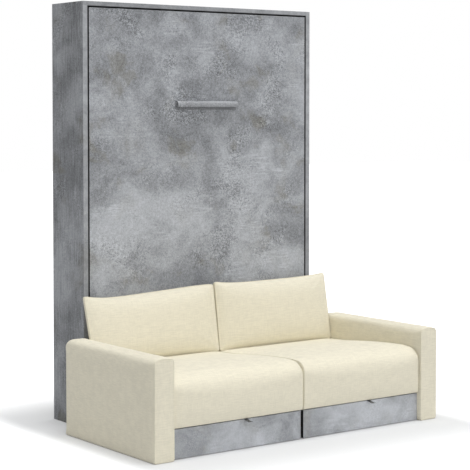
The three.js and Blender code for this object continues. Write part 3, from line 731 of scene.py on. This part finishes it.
def settle(jobs):
    """Lets the padded pieces swell together. Each job is (piece, pins, pressure, longest move)."""
    held = [cloth_on(piece, pins, pressure) for piece, pins, pressure, _ in jobs]
    scene = bpy.context.scene
    scene.frame_start, scene.frame_end = 1, SETTLE_FRAMES
    for step in range(1, SETTLE_FRAMES + 1):
        scene.frame_set(step)
    graph = bpy.context.evaluated_depsgraph_get()
    results = []
    for piece, _, _, cap in jobs:
        flat = np.zeros(3 * len(piece.data.vertices), np.float32)
        piece.evaluated_get(graph).data.vertices.foreach_get("co", flat)
        start = coordinates(piece)
        move = flat.reshape(-1, 3) - start
        length = np.linalg.norm(move, axis=1)
        share = cap * np.tanh(length / cap) / np.maximum(length, TINY)
        results.append(start + move * share[:, None])
    for (piece, _, _, _), cloth, points in zip(jobs, held, results):
        piece.modifiers.remove(cloth)
        piece.vertex_groups.clear()
        write_coordinates(piece, points)
    scene.frame_set(1)


def subdivide(piece):
    """Applies one level of subdivision. The first vertices keep their numbers."""
    finer = piece.modifiers.new("finer", "SUBSURF")
    finer.levels = 1
    finer.render_levels = 1
    graph = bpy.context.evaluated_depsgraph_get()
    fine = bpy.data.meshes.new_from_object(piece.evaluated_get(graph))
    coarse = piece.data
    piece.modifiers.clear()
    piece.data = fine
    fine.name = piece.name
    bpy.data.meshes.remove(coarse)
    fine.shade_smooth()


# Seams

CORD_SIDES = 8
# Any direction that no seam starts along.
ASLANT = (0.31, 0.52, 0.79)


def tube(name, points, radius, finish, closed=True):
    """A round cord through points."""
    sides = CORD_SIDES
    points = np.array(points, float)
    ahead = np.roll(points, -1, 0) - np.roll(points, 1, 0)
    if not closed:
        ahead[0] = points[1] - points[0]
        ahead[-1] = points[-1] - points[-2]
    ahead /= np.linalg.norm(ahead, axis=1)[:, None]
    side = np.cross(ahead[0], ASLANT)
    rings, faces = [], []
    for point, way in zip(points, ahead):
        side = side - way * side.dot(way)
        side /= np.linalg.norm(side)
        other = np.cross(way, side)
        for k in range(sides):
            turn = math.tau * k / sides
            rings.append(point + radius * (math.cos(turn) * side + math.sin(turn) * other))
    count = len(points)
    for i in range(count if closed else count - 1):
        a, b = i * sides, ((i + 1) % count) * sides
        faces += [(a + k, a + (k + 1) % sides, b + (k + 1) % sides, b + k) for k in range(sides)]
    if not closed:
        faces.append(range(sides)[::-1])
        faces.append(range((count - 1) * sides, count * sides))
    return mesh_piece(name, rings, faces, finish)


def evenly(points, pitch, closed=True):
    """Points along a line, spaced by about pitch."""
    points = np.array(points, float)
    if closed:
        points = np.vstack([points, points[:1]])
    gaps = np.linalg.norm(np.diff(points, axis=0), axis=1)
    along = np.concatenate([[0], np.cumsum(gaps)])
    count = max(4, int(along[-1] / pitch))
    wanted = np.linspace(0, along[-1], count + 1)[: count if closed else None]
    return np.stack([np.interp(wanted, along, points[:, k]) for k in range(3)], 1)


def own(piece, body):
    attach(piece, body)
    return piece


PIPING = 2.2 * MM
PIPING_PITCH = 6 * MM
WHOLE_OUTLINE = (0.0, 8.0)


def piping(name, cushion, body, row, between=WHOLE_OUTLINE, radius=PIPING, cloth="cream_fabric"):
    """A sewn cord along one row of a padded piece, between two places q of its outline."""
    piece, shell = cushion
    numbers = shell.loop(row)
    first, last = between
    numbers = numbers[(shell.q[numbers] >= first) & (shell.q[numbers] <= last)]
    closed = between == WHOLE_OUTLINE
    route = evenly(coordinates(piece)[numbers], PIPING_PITCH, closed)
    return own(tube(name, route, radius, FINISHES[cloth], closed=closed), body)


CREAM = FINISHES["cream_fabric"]


# Arms: a padded case, its front panel set in with a seam

ARM_GRID = (62, 10, 40)
ARM_TOP_ROUND = 22 * MM
ARM_FOOT_ROUND = 5 * MM
ARM_EDGE = 7 * MM
ARM_REAR_ROUND = 38 * MM
# The rear round acts on the top alone: over this much height, and with this share of its drop.
ARM_REAR_REACH = 2.2 * ARM_REAR_ROUND
ARM_REAR_SHARE = 0.75
# The crown starts at this share of the half height.
ARM_CROWN = 3 * MM
ARM_CROWN_FROM = 0.7
ARM_FOOT_PINNED = 20 * MM
ARM_SEAM_ROW = 1
# The front panel's piping leaves out the foot. Like the seats', it runs between places q.
ARM_SEAM = (0.0, 6.0)
# How the arms' cloth swells: its pressure, and the longest move of a point.
ARM_SETTLE = (0.6, 3 * MM)


def arm(side):
    """An arm, with its outline across and up and its front panel at the -Y end."""
    node = f"arm_{side}"
    low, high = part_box(node)
    size = high - low
    top = (high.z - ARM_CROWN - low.z) / 2
    radii = (ARM_TOP_ROUND, ARM_TOP_ROUND, ARM_FOOT_ROUND, ARM_FOOT_ROUND)
    shell = Shell(size.y / 2, (size.x / 2, top), radii, ARM_EDGE, ARM_GRID)
    _, across, up = shell.shares()
    height = shell.place[:, 1]
    crown = ARM_CROWN * bulge(across) * smoothstep(ARM_CROWN_FROM, 1.0, up)
    rear = np.clip(shell.depth - (size.y / 2 - ARM_REAR_ROUND), 0, ARM_REAR_ROUND)
    drop = ARM_REAR_ROUND - np.sqrt(np.maximum(ARM_REAR_ROUND**2 - rear**2, 0))
    upper = smoothstep(top - ARM_REAR_REACH, top, height)
    shell.place[:, 1] = height + crown - ARM_REAR_SHARE * drop * upper
    origin = ((low.x + high.x) / 2, (low.y + high.y) / 2, top + low.z)
    points = shell.points(origin, (0, 1, 0), (1, 0, 0), (0, 0, 1))
    piece = mesh_piece(node + "_upholstery", points, shell.turned_quads(), CREAM)
    foot = np.nonzero(coordinates(piece)[:, 2] < ARM_FOOT_PINNED)[0]
    seam = shell.loop(ARM_SEAM_ROW)
    own(piece, "cabinet")
    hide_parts(node)
    return piece, np.concatenate([foot, seam]), shell


# Seat cushions: top and front in one cloth, boxed ends with a seam round them

SEAT_GRID = (54, 56, 18)
SEAT_FRONT_ROUND = 48 * MM
SEAT_REAR_ROUND = 20 * MM
SEAT_FOOT_ROUND = 6 * MM
SEAT_EDGE = 8 * MM
SEAT_HIGH = 398 * MM
SEAT_CROWN = 16 * MM
SEAT_CROWN_POWER = 4.0
# Along the depth the crown is highest behind the middle, and fades towards the rear.
SEAT_CROWN_SHIFT = 0.1
SEAT_CROWN_POWER_ALONG = 2.4
SEAT_CROWN_END = 0.9
# The top's form takes hold of the cushion between these shares of its half height.
SEAT_TOP_FROM, SEAT_TOP_FULL = -0.7, 0.95
# Shares of the half depth and half height from which the front and its upper corners are shaped.
SEAT_FRONT_FROM = 0.7
SEAT_CORNER_FROM = 0.5
SEAT_FRONT_BULGE = 13 * MM
# Shares of the front's bulge that are left at its ends and taken away at its foot.
SEAT_BULGE_AT_ENDS = 0.75
SEAT_BULGE_LESS_AT_FOOT = 0.4
SEAT_BULGE_POWER = 6
SEAT_CORNER_PINCH = 8 * MM
SEAT_PINCH_POWER = 8
SEAT_FOOT_PINNED = 12 * MM
SEAT_SEAM_ROWS = {"left": 2, "right": SEAT_GRID[0] - 2}
SEAT_SEAM = (1.2, 6.4)
SEAT_SETTLE = (1.6, 6 * MM)
# The fall of the top below its high point, from the front edge to the rear.
SEAT_FALL_PLACES = (-0.6, -0.56, -0.51, -0.45, -0.36, -0.25, -0.13, -0.01, 0.12, 0.24)
SEAT_FALLS = (18 * MM, 8 * MM, 1 * MM, 0.0, 4 * MM, 11 * MM, 23 * MM, 34 * MM, 40 * MM, 44 * MM)
SEAT_FALL_BLUR = 30 * MM
SEAT_FALL_SAMPLES = 9


def seat_fall(y):
    """The fall of a seat's top at y, without the corners of a broken line."""
    spread = np.linspace(-1, 1, SEAT_FALL_SAMPLES) * SEAT_FALL_BLUR
    return np.mean([np.interp(y + step, SEAT_FALL_PLACES, SEAT_FALLS) for step in spread], axis=0)


def seat_top(x, y):
    """Height of the seat's top at x, y."""
    low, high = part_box("seat_cushion_right")
    across = (np.abs(x) - (low.x + high.x) / 2) / ((high.x - low.x) / 2)
    along = (y - (low.y + high.y) / 2) / ((high.y - low.y) / 2)
    crown = SEAT_CROWN * bulge(across, SEAT_CROWN_POWER)
    crown = crown * bulge(along - SEAT_CROWN_SHIFT, SEAT_CROWN_POWER_ALONG)
    crown = crown * smoothstep(SEAT_CROWN_END, 0.0, along)
    return SEAT_HIGH + crown - seat_fall(y)


def seat(side):
    """A seat cushion, with its outline in depth and height and a boxed end at each side."""
    node = f"seat_cushion_{side}"
    low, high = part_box(node)
    inner, outer = sorted((abs(low.x), abs(high.x)))
    centre_x = SIDES[side] * (inner + outer) / 2
    centre_y = (low.y + high.y) / 2
    half = ((high.y - low.y) / 2, (SEAT_HIGH - low.z) / 2)
    radii = (SEAT_REAR_ROUND, SEAT_FRONT_ROUND, SEAT_FOOT_ROUND, SEAT_FOOT_ROUND)
    shell = Shell((outer - inner) / 2, half, radii, SEAT_EDGE, SEAT_GRID)
    through, across, up = shell.shares()
    x, y = centre_x + shell.depth, centre_y + shell.place[:, 0]
    upper = smoothstep(SEAT_TOP_FROM, SEAT_TOP_FULL, up)
    shell.place[:, 1] += upper * (seat_top(x, y) - SEAT_HIGH)
    front = smoothstep(SEAT_FRONT_FROM, 1.0, -across)
    swell = SEAT_BULGE_AT_ENDS + (1 - SEAT_BULGE_AT_ENDS) * bulge(through)
    less = np.where(up > 0, 1.0, SEAT_BULGE_LESS_AT_FOOT) * np.abs(up) ** SEAT_BULGE_POWER
    shell.place[:, 0] -= front * (swell * (1 - less)) * SEAT_FRONT_BULGE
    pinch = front * smoothstep(SEAT_CORNER_FROM, 1.0, up) * np.abs(through) ** SEAT_PINCH_POWER
    shell.depth -= np.sign(through) * pinch * SEAT_CORNER_PINCH
    origin = (centre_x, centre_y, low.z + half[1])
    points = shell.points(origin, (1, 0, 0), (0, 1, 0), (0, 0, 1))
    piece = mesh_piece(node + "_upholstery", points, shell.quads, CREAM)
    foot = np.nonzero(points[:, 2] < low.z + SEAT_FOOT_PINNED)[0]
    caps = np.nonzero(~shell.side)[0]
    sewn = [shell.loop(row) for row in SEAT_SEAM_ROWS.values()]
    own(piece, "cabinet")
    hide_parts(node)
    return piece, np.unique(np.concatenate([foot, caps, *sewn])), shell


# Back cushions: loose cushions with a seam round them, leaning on the bed's front panel

BACK_GRID = (6, 64, 34)
BACK_HALF_GUSSET = 10 * MM
BACK_EDGE = 7 * MM
BACK_HALF_WIDTH = 396 * MM
BACK_HALF_HEIGHT = 186 * MM
BACK_CORNER = 10 * MM
BACK_GAP = 1 * MM
BACK_LEAN = math.radians(12)
BACK_FRONT_SWELL = 46 * MM
BACK_REAR_SWELL = 64 * MM
# How the swell falls off towards the sides and towards the top and foot: two powers each.
BACK_FLANK = (4, 0.75)
BACK_CREST = (4, 0.6)
# The share of the swell that moves to the middle from the sides, to the top in front, to the foot behind.
BACK_BELLY = 0.12
BACK_SIDE_WAIST = 1.5 * MM
BACK_WAIST_POWER = 3
BACK_SAG_POWERS = (3, 4)
BACK_REST_GAP = 0.6 * MM
BACK_FOOT = 145 * MM
BACK_FOOT_HEIGHT = 356 * MM
BACK_PINNED = 2 * MM
BACK_SEAM_ROWS = {"rear": 1, "front": BACK_GRID[0] - 1}
BACK_SETTLE = (2.0, 14 * MM)
# Place and height of the seam at the inner and outer top corners, then how far it sags between them
# and how much more of that lies towards the outer one.
BACK_TOPS = {
    "left": ((204 * MM, 720 * MM), (252 * MM, 707 * MM), (12.5 * MM, 1.5)),
    "right": ((197 * MM, 734 * MM), (216 * MM, 732 * MM), (15 * MM, -0.25)),
}


def back(side):
    """A back cushion, flattened where it leans on the panel and where it stands on the seat."""
    node = f"back_cushion_{side}"
    half = (BACK_HALF_WIDTH, BACK_HALF_HEIGHT)
    shell = Shell(BACK_HALF_GUSSET, half, (BACK_CORNER,) * 4, BACK_EDGE, BACK_GRID, edge_rows=2)
    _, across, up = shell.shares()
    outward = across * SIDES[side]
    ahead = shell.depth > 0
    flank = bulge(across, BACK_FLANK[0]) ** BACK_FLANK[1]
    crest = bulge(up, BACK_CREST[0]) ** BACK_CREST[1]
    belly = 1 - BACK_BELLY + BACK_BELLY * bulge(across) + np.where(ahead, BACK_BELLY, -BACK_BELLY) * up
    swell = np.where(ahead, BACK_FRONT_SWELL, -BACK_REAR_SWELL) * flank * crest * belly
    depth = shell.depth + np.where(shell.side, 0, swell)
    waist = BACK_SIDE_WAIST * bulge(up) * np.clip(-outward, 0, 1) ** BACK_WAIST_POWER
    x = SIDES[side] * (BACK_GAP + BACK_HALF_WIDTH) + shell.place[:, 0] - np.sign(across) * waist
    (inner_y, inner_z), (outer_y, outer_z), (sag, lean_out) = BACK_TOPS[side]
    outer = (1 + outward) / 2
    rise = (1 + up) / 2
    top_y = inner_y + (outer_y - inner_y) * outer
    top_z = inner_z + (outer_z - inner_z) * outer
    y = BACK_FOOT + (top_y - BACK_FOOT) * rise - depth * math.cos(BACK_LEAN)
    z = BACK_FOOT_HEIGHT + (top_z - BACK_FOOT_HEIGHT) * rise + depth * math.sin(BACK_LEAN)
    rise_power, across_power = BACK_SAG_POWERS
    sag = sag * bulge(across, across_power) * (1 + lean_out * outward)
    z -= np.clip(up, 0, 1) ** rise_power * sag
    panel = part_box("front_panel")[0].y
    y = np.minimum(y, panel - BACK_REST_GAP)
    rest = seat_top(x, y) + BACK_REST_GAP
    z = np.maximum(z, rest)
    piece = mesh_piece(node + "_upholstery", np.stack([x, y, z], 1), shell.quads, CREAM)
    held = shell.side | (z < rest + BACK_PINNED) | (y > panel - BACK_PINNED)
    own(piece, node)
    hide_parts(node)
    return piece, np.nonzero(held)[0], shell


# Mattress: quilted panels, a taped edge and a border

MATTRESS_GRID = (14, 92, 124)
MATTRESS_CORNER = 60 * MM
MATTRESS_EDGE = 12 * MM
QUILT_PITCH = 105 * MM
QUILT_DEPTH = 9 * MM
# The quilting starts this far from the panel's edge, and is at its full depth from the second.
QUILT_FROM, QUILT_FULL = 20 * MM, 60 * MM
MATTRESS_TAPE = 4 * MM
MATTRESS_TAPE_ROWS = {"inner": 1, "outer": MATTRESS_GRID[0] - 1}


def mattress():
    """The mattress as it stands in the folded bed, quilted in a diamond pattern on both faces."""
    low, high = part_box("mattress")
    size = high - low
    half = (size.x / 2, size.z / 2)
    shell = Shell(size.y / 2, half, (MATTRESS_CORNER,) * 4, MATTRESS_EDGE, MATTRESS_GRID)
    across, up = shell.place.T
    first = np.abs(np.sin(math.pi * (across + up) / QUILT_PITCH))
    second = np.abs(np.sin(math.pi * (across - up) / QUILT_PITCH))
    quilt = np.sqrt(np.maximum(first * second, 0))
    edge = np.minimum(size.x / 2 - np.abs(across), size.z / 2 - np.abs(up))
    inside = smoothstep(QUILT_FROM, QUILT_FULL, edge)
    hollow = QUILT_DEPTH * (1 - quilt) * inside
    shell.depth -= np.sign(shell.depth) * np.where(shell.side, 0, hollow)
    points = shell.points((low + high) / 2, (0, 1, 0), (1, 0, 0), (0, 0, 1))
    piece = mesh_piece("mattress_cover", points, shell.turned_quads(), FINISHES["mattress_ticking"])
    own(piece, "bed")
    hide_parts("mattress")
    return piece, shell


def upholster():
    """All padded pieces. It returns the seats, backs and arms by side, and the mattress."""
    jobs = []
    pieces = {"seat": {}, "back": {}, "arm": {}}
    makers = (("seat", seat, SEAT_SETTLE), ("back", back, BACK_SETTLE), ("arm", arm, ARM_SETTLE))
    for side in SIDES:
        for kind, make, (pressure, longest_move) in makers:
            piece, pins, shell = make(side)
            jobs.append((piece, pins, pressure, longest_move))
            pieces[kind][side] = (piece, shell)
    settle(jobs)
    for piece, _, _, _ in jobs:
        subdivide(piece)
    cover = mattress()
    return *pieces.values(), cover


def seams(seats, backs, arms, cover):
    """Piping: round the arms' front panels, the seats' ends, the loose cushions and the mattress."""
    for side in SIDES:
        piping(f"arm_{side}_piping", arms[side], "cabinet", ARM_SEAM_ROW, ARM_SEAM)
        for end, row in SEAT_SEAM_ROWS.items():
            piping(f"seat_{side}_piping_{end}", seats[side], "cabinet", row, SEAT_SEAM)
        for face, row in BACK_SEAM_ROWS.items():
            piping(f"back_{side}_piping_{face}", backs[side], f"back_cushion_{side}", row)
    for face, row in MATTRESS_TAPE_ROWS.items():
        name = f"mattress_tape_{face}"
        piping(name, cover, "bed", row, radius=MATTRESS_TAPE, cloth="mattress_ticking")


# Bolts and screws, one mesh for each plate or bracket

HEAD_SIDES = 24
HEX_SIDES = 6
# A head's outline as shares of its radius and height, from the foot to the rim of the socket.
HEAD_SHARES = ((1.0, 0.0), (1.0, 0.6), (0.86, 1.0))
SOCKET_SHARE = 0.42
SOCKET_FLOOR_SHARE = 0.3
# Radius and height of a head.
BOLT_HEAD = (6 * MM, 1.2 * MM)
SCREW_HEAD = (7 * MM, 3 * MM)


def heads(name, places, towards, size, body, slot):
    """Round heads with a hexagonal socket, standing on places and facing towards."""
    radius, height = size
    turn = Vector((0, 0, 1)).rotation_difference(Vector(towards))
    sector = math.tau / HEX_SIDES
    rows = len(HEAD_SHARES) + 2
    points, faces = [], []
    for place in places:
        start = len(points)
        for k in range(HEAD_SIDES):
            angle = math.tau * k / HEAD_SIDES
            socket = SOCKET_SHARE / math.cos(angle % sector - sector / 2)
            for out, rise in (*HEAD_SHARES, (socket, 1.0), (socket, SOCKET_FLOOR_SHARE)):
                out *= radius
                spot = Vector((out * math.cos(angle), out * math.sin(angle), rise * height))
                points.append(Vector(place) + turn @ spot)
        for k in range(HEAD_SIDES):
            here, there = start + k * rows, start + (k + 1) % HEAD_SIDES * rows
            faces += [(here + i, there + i, there + i + 1, here + i + 1) for i in range(rows - 1)]
        faces.append([start + k * rows for k in reversed(range(HEAD_SIDES))])
        faces.append([start + k * rows + rows - 1 for k in range(HEAD_SIDES)])
    return own(mesh_piece(name, points, faces, FINISHES[slot], smooth=False), body)


PLATE_THICKNESS = 4 * MM
# The hinge plates' holes, as places along Y and Z.
HINGE_BOLTS = ((339 * MM, 421.6 * MM), (374.2 * MM, 470 * MM), (434.9 * MM, 636.1 * MM))
# How far a hole lies from the plate's upper and lower edges.
BED_PLATE_BOLT_EDGE = 20 * MM
LEG_BRACKET_BOLT_EDGE = 15 * MM
WALL_SCREW_DROP = 34.8 * MM
WALL_BRACKET_THICKNESS = 3 * MM


def fittings():
    """The bolts and screws in the holes of the plates and brackets."""
    for side, sign in SIDES.items():
        low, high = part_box(f"hinge_plate_{side}")
        face = sign * (max(abs(low.x), abs(high.x)) - PLATE_THICKNESS)
        places = [(face, y, z) for y, z in HINGE_BOLTS]
        heads(f"hinge_bolts_{side}", places, (-sign, 0, 0), BOLT_HEAD, "cabinet", "zinc_steel")
        rail_low, rail_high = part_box(f"bed_rail_{side}")
        y = (rail_low.y + rail_high.y) / 2
        for part, edge in (("bed_plate", BED_PLATE_BOLT_EDGE), ("leg_bracket", LEG_BRACKET_BOLT_EDGE)):
            low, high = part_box(f"{part}_{side}")
            face = sign * (min(abs(low.x), abs(high.x)) + PLATE_THICKNESS)
            places = [(face, y, low.z + edge), (face, y, high.z - edge)]
            heads(f"{part}_bolts_{side}", places, (sign, 0, 0), BOLT_HEAD, "bed", "zinc_steel")
        low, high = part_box(f"wall_bracket_{side}")
        place = ((low.x + high.x) / 2, high.y - WALL_BRACKET_THICKNESS, high.z - WALL_SCREW_DROP)
        heads(f"wall_screw_{side}", [place], (0, -1, 0), SCREW_HEAD, "cabinet", "zinc_steel")


# Light, floor and camera

SURROUND = 0.5
# Where each sun stands as seen from the object, its strength and its spread in degrees.
KEY_SUN = ((0.05, -0.1, 0.99), 1.9, 30)
FILL_SUN = ((-0.05, -0.97, 0.12), 1.18, 60)


def world_light():
    """An even surround for the object, and plain white where it is seen, mirrored or looked through."""
    world = bpy.data.worlds.new("studio")
    bpy.context.scene.world = world
    world.use_nodes = True
    tree = world.node_tree
    tree.nodes.clear()
    link = tree.links.new
    path = tree.nodes.new("ShaderNodeLightPath")
    mix = tree.nodes.new("ShaderNodeMixShader")
    for socket, strength in ((mix.inputs[1], SURROUND), (mix.inputs[2], 1.0)):
        background = tree.nodes.new("ShaderNodeBackground")
        background.inputs["Color"].default_value = (1, 1, 1, 1)
        background.inputs["Strength"].default_value = strength
        link(background.outputs[0], socket)
    seen = path.outputs["Is Camera Ray"]
    for ray in ("Is Glossy Ray", "Is Transmission Ray"):
        either = tree.nodes.new("ShaderNodeMath")
        either.operation = "ADD"
        either.use_clamp = True
        link(seen, either.inputs[0])
        link(path.outputs[ray], either.inputs[1])
        seen = either.outputs[0]
    link(seen, mix.inputs["Fac"])
    out = tree.nodes.new("ShaderNodeOutputWorld")
    link(mix.outputs[0], out.inputs["Surface"])


def sun(name, towards, strength, spread):
    """A sun that stands towards a direction and shines back from there."""
    light = bpy.data.lights.new(name, "SUN")
    light.energy = strength
    light.angle = math.radians(spread)
    lamp = bpy.data.objects.new(name, light)
    bpy.context.scene.collection.objects.link(lamp)
    lamp.rotation_mode = "QUATERNION"
    lamp.rotation_quaternion = Vector(towards).to_track_quat("Z", "Y")


FLOOR_HALF = 30.0
# Half the width and depth of the ground that the object covers. From there the floor turns white for the
# camera: over these distances, with this glow at their ends, and faster sideways by a factor. The low
# glow near the object leaves a painted shade round it.
FLOOR_NEAR = (0.92, 0.61)
FLOOR_FADE = (0.1, 0.8)
FLOOR_GLOW = (0.11, 0.6)
FLOOR_SIDEWAYS = 4.0


def floor():
    """Pale floor that keeps the object's shadow, has painted shade near the object where its glow is low,
    and turns white away from the object.
    """
    m = Finish("floor", 0.9)
    m.set("Base Color", m.mix(m.noise(0.6), "CDCECF", "D2D3D4"))
    m.plain("Specular IOR Level", 0.1)
    path = m.tree.nodes.new("ShaderNodeLightPath")
    x, y, _ = m.split(m.place)
    aside, ahead = [
        m.calc("MAXIMUM", m.minus(m.size(axis), near), 0.0) for axis, near in zip((x, y), FLOOR_NEAR)
    ]
    aside = m.times(aside, FLOOR_SIDEWAYS)
    away = m.calc("SQRT", m.plus(m.calc("POWER", aside, 2.0), m.calc("POWER", ahead, 2.0)))
    # Painted shade: the glow is low near the object and high away from it.
    glow = m.ramp(away, *FLOOR_FADE, *FLOOR_GLOW)
    m.set("Emission Color", (1, 1, 1, 1))
    m.set("Emission Strength", m.times(path.outputs["Is Camera Ray"], glow))
    corners = [(x * FLOOR_HALF, y * FLOOR_HALF, 0) for x, y in ((-1, -1), (1, -1), (1, 1), (-1, 1))]
    mesh_piece("floor", corners, [(0, 1, 2, 3)], m, smooth=False)


def camera():
    data = bpy.data.cameras.new("camera")
    data.sensor_width = CAMERA_SENSOR
    data.lens = CAMERA_LENS
    data.shift_y = CAMERA_SHIFT
    eye = bpy.data.objects.new("camera", data)
    bpy.context.scene.collection.objects.link(eye)
    eye.location = CAMERA_PLACE
    level = math.cos(CAMERA_DIP)
    heading = (math.sin(CAMERA_HEADING) * level, math.cos(CAMERA_HEADING) * level)
    ahead = Vector((*heading, -math.sin(CAMERA_DIP)))
    eye.rotation_mode = "QUATERNION"
    eye.rotation_quaternion = ahead.to_track_quat("-Z", "Y")
    bpy.context.scene.camera = eye


bpy.context.scene.view_settings.view_transform = "Standard"
camera()
world_light()
sun("key", *KEY_SUN)
sun("fill", *FILL_SUN)
floor()
dress_nodes()
seams(*upholster())
fittings()
